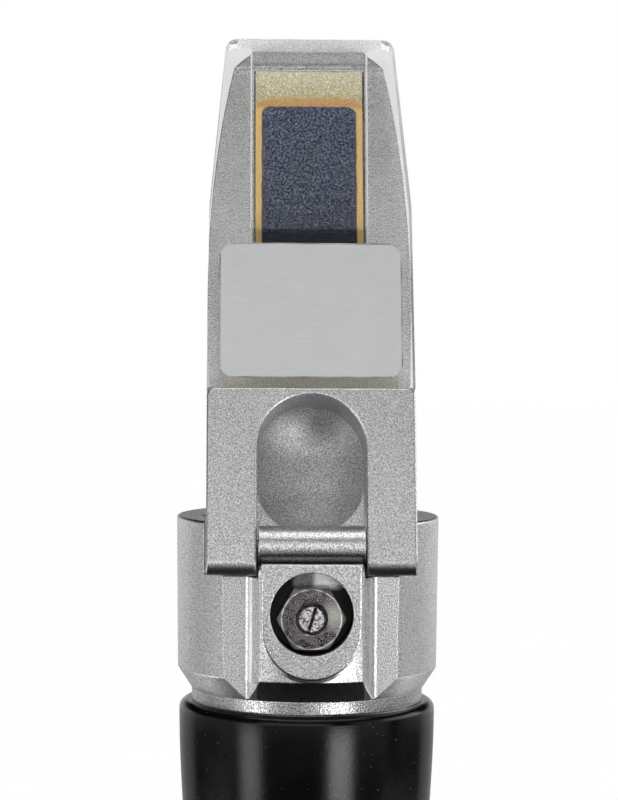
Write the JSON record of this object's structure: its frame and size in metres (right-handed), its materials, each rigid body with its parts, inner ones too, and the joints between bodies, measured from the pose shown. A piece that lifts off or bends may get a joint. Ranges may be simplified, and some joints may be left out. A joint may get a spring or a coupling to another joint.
{
  "type": "handheld refractometer",
  "caption": "Handheld refractometer with a slanted prism head, hinged clear cover plate, zero adjuster, rubber grip, focus ring and soft eyecup.",
  "frame": {"origin": "centre of the eyecup's flat rim, where the optical axis meets the surface that the instrument stands on", "axes": "+Z along the optical axis from the eyecup to the prism tip, -Y the side of the measuring face and the adjuster, +X to the right of that side"},
  "size_m": [0.0352, 0.0352, 0.1704],
  "materials": {
    "cast_alloy": "fine blasted satin",
    "bright_alloy": "bright blasted satin",
    "prism_glass": "polished",
    "optical_glass": "polished",
    "clear_acrylic": "clear, with a frosted pad",
    "ochre_cement": "cured cement",
    "silver_foil": "satin foil, bare",
    "plated_steel": "plated",
    "blackened_metal": "matt black",
    "black_plastic": "satin moulded",
    "black_rubber": "soft satin"
  },
  "bodies": {
    "body": {"prism_housing": "cast_alloy", "measuring_prism": "prism_glass", "prism_seal": "ochre_cement", "adjuster_escutcheon": "bright_alloy", "main_tube": "bright_alloy", "tube_seal_ring": "black_rubber", "rubber_grip": "black_rubber", "field_stop": "blackened_metal", "reticle_holder": "blackened_metal", "scale_reticle": "optical_glass", "reticle_retainer": "blackened_metal", "eyepiece_barrel": "bright_alloy", "lens_guide_screw": "plated_steel"},
    "cover": {"hinge_frame": "cast_alloy", "daylight_plate": "clear_acrylic", "rating_label": "silver_foil", "hinge_pin": "plated_steel"},
    "lock_nut": {"lock_nut": "plated_steel"},
    "objective": {"objective_cell": "blackened_metal", "objective_lens": "optical_glass", "objective_retainer": "blackened_metal"},
    "adjuster": {"adjusting_screw": "plated_steel"},
    "focus_ring": {"focus_ring": "black_plastic", "focus_ring_screws": "plated_steel", "eyecup": "black_rubber"},
    "eye_cell": {"eye_lens_cell": "blackened_metal", "eye_lens": "optical_glass", "lens_spacer": "blackened_metal", "field_lens": "optical_glass", "eye_retainer": "blackened_metal"}
  },
  "joints": [
    {"name": "cover_hinge", "type": "hinge", "parent": "body", "child": "cover", "pos_m": [0, -0.0135, 0.1096], "axis": [1, 0, 0], "range_deg": [0, 160]},
    {"name": "lock_nut_turn", "type": "hinge", "parent": "body", "child": "lock_nut", "pos_m": [0, -0.0138, 0.1012], "axis": [0, -1, 0], "range_deg": [0, 90]},
    {"name": "objective_shift", "type": "slide", "parent": "body", "child": "objective", "axis": [0, 1, 0], "range_m": [-0.00035, 0.00035]},
    {"name": "adjuster_turn", "type": "hinge", "parent": "objective", "child": "adjuster", "pos_m": [0, -0.0138, 0.1012], "axis": [0, 1, 0], "range_deg": [-185, 185]},
    {"name": "focus_turn", "type": "hinge", "parent": "body", "child": "focus_ring", "pos_m": [0, 0, 0.026], "axis": [0, 0, 1], "range_deg": [-120, 120]},
    {"name": "eye_cell_slide", "type": "slide", "parent": "body", "child": "eye_cell", "axis": [0, 0, 1], "range_m": [-0.0016, 0.0016]}
  ],
  "couplings": [
    {"joint": "adjuster_turn", "follows": "objective_shift", "rad_per_m": 8976},
    {"joint": "eye_cell_slide", "follows": "focus_turn", "m_per_rad": -0.0007162}
  ]
}
